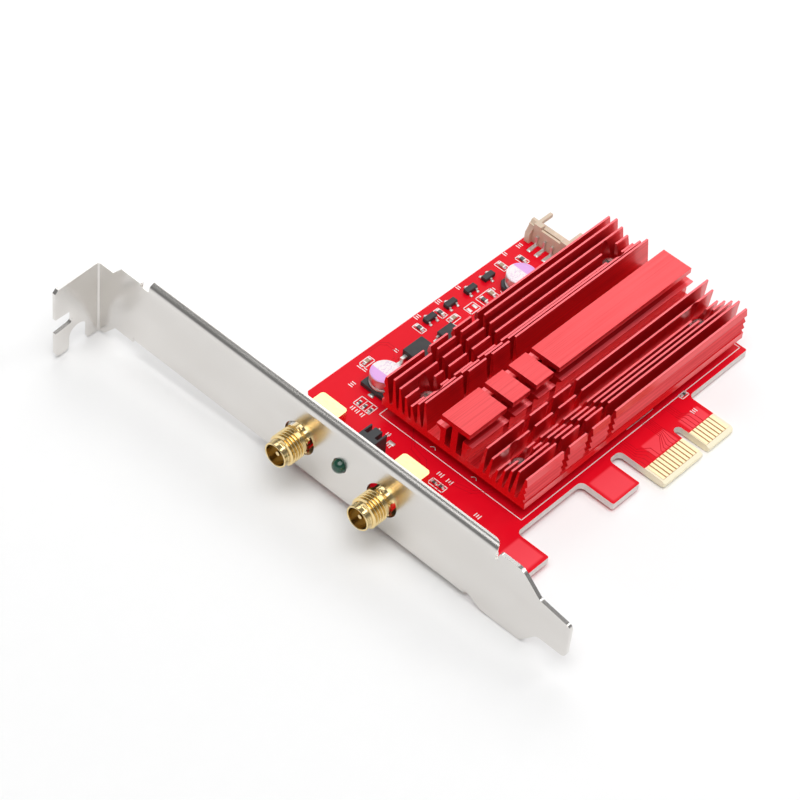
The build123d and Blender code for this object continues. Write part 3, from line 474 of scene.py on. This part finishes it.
# The right-angle header: moulded from cream nylon, open towards the cable. Its four pins run out of the
# back wall and down to flat feet, which are soldered to the board.
header_round = 0.06
nylon = Finish("cream_nylon", {"Roughness": 0.42, "Subsurface Weight": 0.1, "Subsurface Scale": 0.4 * MM})
haze = nylon.noise((1.5, 1.5, 1.5), 3.0)
nylon.paint({"Base Color": nylon.mix(haze, (0.62, 0.48, 0.36), (0.76, 0.62, 0.48))})
piece("header", softened(["header_housing"], header_round), nylon, ["header_housing"])

# The radio module under the heatsink: a small green board, its chip, a tinned shield over it and
# a soft grey pad that carries the heat up.
module = Finish("module_green", {"Roughness": 0.35})
blotch = module.noise((2, 2, 2), 3.0)
module.paint({"Base Color": module.mix(blotch, (0.010, 0.09, 0.03), (0.02, 0.14, 0.05))})
dress(module, "radio_board")
dress(epoxy, "radio_chip")
dress(tin, "radio_shield")
putty = Finish("grey_putty", {"Roughness": 0.8})
lumps = putty.noise((0.6, 0.6, 0.6), 3.0)
putty.paint({"Base Color": putty.mix(lumps, (0.24, 0.25, 0.26), (0.36, 0.37, 0.38)),
             "Normal": putty.relief(lumps, 0.08, 0.5)})
dress(putty, "thermal_pad")

# The standoffs: turned brass posts with a threaded bore, fixed on the board under the heatsink. They
# carry it at its height over the radio module.
brass = Finish("brass", {"Metallic": 1.0})
turning = brass.noise((2, 2, 0.08), 2.0)
brass.paint({"Base Color": brass.mix(turning, (0.66, 0.44, 0.16), (0.80, 0.58, 0.26)),
             "Roughness": 0.25 + 0.2 * turning})
dress(brass, "heatsink_standoffs")

# The heatsink: one aluminium extrusion, sawn across to let air through, milled for its four screws
# and anodised red. The die leaves fine lines along its length, and the clear skin catches the light.
fin_tops_z = 7.3
sink_middle_y = 29.85
top_plate_half = 3.6
anodised = Finish("red_anodised", {"Metallic": 0.75, "Coat IOR": 1.6, "Coat Roughness": 0.2})
die_lines = anodised.noise((26, 0.24, 0.24), 3.0)
streaks = anodised.ramp(die_lines, 0.35, 0.65)
drift = anodised.noise((12, 5, 5), 2.0)
dye = anodised.mix(0.35 * drift + 0.65 * streaks, (0.62, 0.010, 0.016), (0.93, 0.030, 0.042))
# Painted highlight: the upward faces of the fin tops, high up and away from the top plate, get a paler pink
# base colour for the light they catch.
outside_plate = abs(anodised.y - sink_middle_y) > top_plate_half
painted_fin_top_highlight = (anodised.facing()[2] > 0.9) * (anodised.z > fin_tops_z) * outside_plate
anodised.paint({"Base Color": anodised.mix(painted_fin_top_highlight, dye, (0.90, 0.10, 0.12)),
                "Roughness": 0.30 + 0.16 * streaks, "Coat Weight": 0.55 + 0.35 * streaks,
                "Normal": anodised.relief(die_lines, 0.008, 0.5)})
dress(anodised, "heatsink")

# The heatsink's screws: steel pan heads with a cross recess, nickel-plated, coloured a darker grey. They
# stand in the pockets between the fins and hold the heatsink down on its standoffs.
nickel = Finish("nickel", {"Metallic": 1.0})
scuffs = nickel.noise((0.3, 0.3, 0.3), 3.0)
nickel.paint({"Base Color": nickel.mix(scuffs, (0.38, 0.37, 0.36), (0.54, 0.53, 0.51)),
              "Roughness": 0.18 + 0.2 * scuffs})
dress(nickel, "heatsink_screws")

# The antenna jacks: a gold-plated brass block soldered to the board, and a turned barrel pressed
# into it with a thin lip, a fine thread, a six-sided collar and a neck.
block_round = 0.12
jack_ys = (29.5, 50.4)
jack_z = 5.97
# The barrel's and the thread's outlines, as distance along the jack and radius.
barrel_profile = ((-6.12, 2.3), (-6.2, 2.38), (-6.2, 2.55), (-6.1, 2.65), (-5.3, 2.65), (-5.2, 2.7),
                  (-1.55, 2.7), (-1.4, 2.85), (0.3, 2.85), (0.3, 2.8), (2.6, 2.8), (2.6, 2.45), (4.4, 2.45),
                  (4.4, 2.05), (-0.9, 2.05), (-0.9, 2.3), (-6.12, 2.3))
thread_profile = ((-4.98, 2.6), (-4.79, 3.1), (-4.74, 3.175), (-4.62, 3.175), (-4.57, 3.1), (-4.38, 2.6))
thread_pitch = 0.705
thread_turns = 5.0
turn_steps = 40
collar_x = -0.125
collar_depth = 0.85
collar_flats = 5.4
collar_round = 0.1
plate = Finish("jack_gold", {"Metallic": 1.0})
polish = plate.noise((0.6, 1.2, 1.2), 2.0)
rings = plate.noise((0.06, 4, 4), 2.0)
plate.paint({"Base Color": plate.mix(polish, (0.84, 0.63, 0.29), (0.92, 0.74, 0.40)),
             "Roughness": 0.13 + 0.08 * rings})
blocks = ["jack_block_1", "jack_block_2"]
piece("jack_blocks", softened(blocks, block_round), plate, blocks)
for number, jack_y in enumerate(jack_ys, 1):
    centre = Vector((0, jack_y, jack_z))
    barrel = bmesh.new()
    turned(barrel, barrel_profile, centre, (1, 0, 0), (0, 0, 1))
    ridge = bmesh.new()
    corners = [ridge.verts.new((centre + Vector((along, 0, radius))) * MM)
               for along, radius in thread_profile]
    loop = [ridge.edges.new((corners[i], corners[i - 1])) for i in range(len(corners))]
    bmesh.ops.spin(ridge, geom=corners + loop, cent=centre * MM, axis=(1, 0, 0),
                   dvec=(thread_pitch * MM / turn_steps, 0, 0), angle=math.tau * thread_turns,
                   steps=round(turn_steps * thread_turns), use_merge=False, use_duplicate=False)
    open_ends = [edge for edge in ridge.edges if edge.is_boundary]
    bmesh.ops.holes_fill(ridge, edges=open_ends, sides=len(thread_profile))
    collar = bmesh.new()
    radius = collar_flats / 2 / math.cos(math.radians(30)) * MM
    lay = Matrix.Rotation(math.radians(90), 4, "Y") @ Matrix.Rotation(math.radians(90), 4, "Z")
    shift = Matrix.Translation((centre + Vector((collar_x, 0, 0))) * MM)
    bmesh.ops.create_cone(collar, cap_ends=True, segments=6, radius1=radius, radius2=radius,
                          depth=collar_depth * MM, matrix=shift @ lay)
    rounded(collar, list(collar.edges), collar_round, 2)
    for part in (ridge, collar):
        joined = bpy.data.meshes.new("part")
        part.to_mesh(joined)
        part.free()
        barrel.from_mesh(joined)
        bpy.data.meshes.remove(joined)
    piece(f"jack_{number}", barrel, plate, [f"jack_barrel_{number}"])

# The inside of the jacks: a turned white sleeve of fluoroplastic, pressed into the barrel round a
# gold-plated centre contact.
sleeve = Finish("white_fluoroplastic", {"Roughness": 0.45})
cloud = sleeve.noise((0.8, 0.8, 0.8))
sleeve.paint({"Base Color": sleeve.mix(cloud, (0.78, 0.75, 0.71), (0.88, 0.86, 0.83))})
dress(sleeve, "jack_insulator_1", "jack_insulator_2")
dress(plate, "jack_pin_1", "jack_pin_2")

# The indicator lamp: a domed lens of green resin that looks out through the bracket. A moulded black
# holder keeps it at its height, and its leads are soldered into the board.
holder_round = 0.1
lens = Finish("green_lens", {"Coat Weight": 0.5, "Coat Roughness": 0.04})
depth = lens.noise((1, 1, 1))
lens.paint({"Base Color": lens.mix(depth, (0.002, 0.038, 0.022), (0.006, 0.080, 0.046)),
            "Roughness": 0.15 + 0.1 * depth})
dress(lens, "lamp_lens")
piece("lamp_block", softened(["lamp_holder"], holder_round), plastic, ["lamp_holder"])

# The slot bracket: one sheet of zinc-plated steel, punched and folded, with a satin skin that is
# brushed along its length.
zinc = Finish("zinc_steel", {"Metallic": 1.0})
brush = zinc.noise((0.10, 9, 0.10), 3.0)
bloom = zinc.noise((6, 14, 6), 3.0)
zinc.paint({"Base Color": zinc.mix(bloom, (0.70, 0.675, 0.645), (0.80, 0.78, 0.755)),
            "Roughness": 0.17 + 0.08 * brush + 0.05 * bloom, "Normal": zinc.relief(brush, 0.004, 0.12)})
dress(zinc, "bracket")

# The board screws: nickel-plated pan heads with a cross recess, driven down through the board into
# the bracket's tabs.
dress(nickel, "bracket_screws")

# The place it stands on: a pale sheet under the card, a broad soft light behind it, a small one on its
# right and a wide one overhead. The room is white low down and dim above, and the camera sees it white.
sheet_half = 3.0
sheet_slope = (0.01406, -0.0356)
sheet_z = -2.6
white_below, dim_above = 0.05, 0.45
dim_level = 0.18
middle = (0.04, 0.04, 0.0)
paper = Finish("pale_sheet", {"Roughness": 0.9})
fibre = paper.noise((4, 4, 4), 3.0)
paper.paint({"Base Color": paper.mix(fibre, (0.955, 0.955, 0.955), (0.975, 0.975, 0.975))})
sheet = bmesh.new()
bmesh.ops.create_grid(sheet, x_segments=1, y_segments=1, size=sheet_half)
lean = Matrix(((1, 0, 0, 0), (0, 1, 0, 0), (*sheet_slope, 1, sheet_z * MM), (0, 0, 0, 1)))
bmesh.ops.transform(sheet, matrix=lean, verts=sheet.verts)
data = bpy.data.meshes.new("pale_sheet")
sheet.to_mesh(data)
sheet.free()
data.materials.append(paper.material)
ground = bpy.data.objects.new("pale_sheet", data)
bpy.context.scene.collection.objects.link(ground)

room = bpy.data.worlds.new("room")
room.use_nodes = True
bpy.context.scene.world = room
air = Nodes(room.node_tree)
rise = air.axes(air.node("ShaderNodeTexCoord").of("Generated"))[2]
sky = air.node("ShaderNodeMapRange", {"interpolation_type": "SMOOTHSTEP"},
               {0: rise, 1: white_below, 2: dim_above, 3: 1.0, 4: dim_level})
seen = air.node("ShaderNodeLightPath").of("Is Camera Ray")
level = air.node("ShaderNodeMapRange", {}, {0: seen, 3: sky, 4: 1.0})
air.fill(room.node_tree.nodes["Background"], {"Color": (1, 1, 1), "Strength": level})


def lamp(name, kind, place, aim, settings):
    """A light that shines from its place towards the aim."""
    light = bpy.data.lights.new(name, kind)
    for key, value in settings.items():
        setattr(light, key, value)
    made = bpy.data.objects.new(name, light)
    bpy.context.scene.collection.objects.link(made)
    made.location = place
    made.rotation_euler = (Vector(place) - Vector(aim)).to_track_quat("Z", "Y").to_euler()


lamp("back_softbox", "AREA", (0.467, 0.411, 0.492), middle,
     {"shape": "RECTANGLE", "size": 0.58, "size_y": 0.31, "energy": 1.1})
lamp("side_softbox", "AREA", (0.466, -0.186, 0.575), middle,
     {"shape": "RECTANGLE", "size": 0.22, "size_y": 0.22, "energy": 0.56})
lamp("fill", "SUN", (-0.164, -0.128, 0.978), (0, 0, 0), {"energy": 2.08, "angle": math.radians(56)})

# The camera of the photograph: a long lens, high up on the outer side of the bracket and turned a
# little about its line of sight.
camera_place = (-0.273075, -0.187099, 0.40457)
view = bpy.data.cameras.new("photo_view")
view.lens = 130.98
view.sensor_width = 36.0
camera = bpy.data.objects.new("photo_view", view)
bpy.context.scene.collection.objects.link(camera)
bpy.context.scene.camera = camera
azimuth, elevation, roll = math.radians(51.81), math.radians(46.81), math.radians(6.63)
turn = (Matrix.Rotation(-azimuth, 4, "Z") @ Matrix.Rotation(math.radians(90) - elevation, 4, "X")
        @ Matrix.Rotation(roll, 4, "Z"))
camera.matrix_world = Matrix.Translation(camera_place) @ turn
bpy.context.scene.view_settings.view_transform = "Standard"
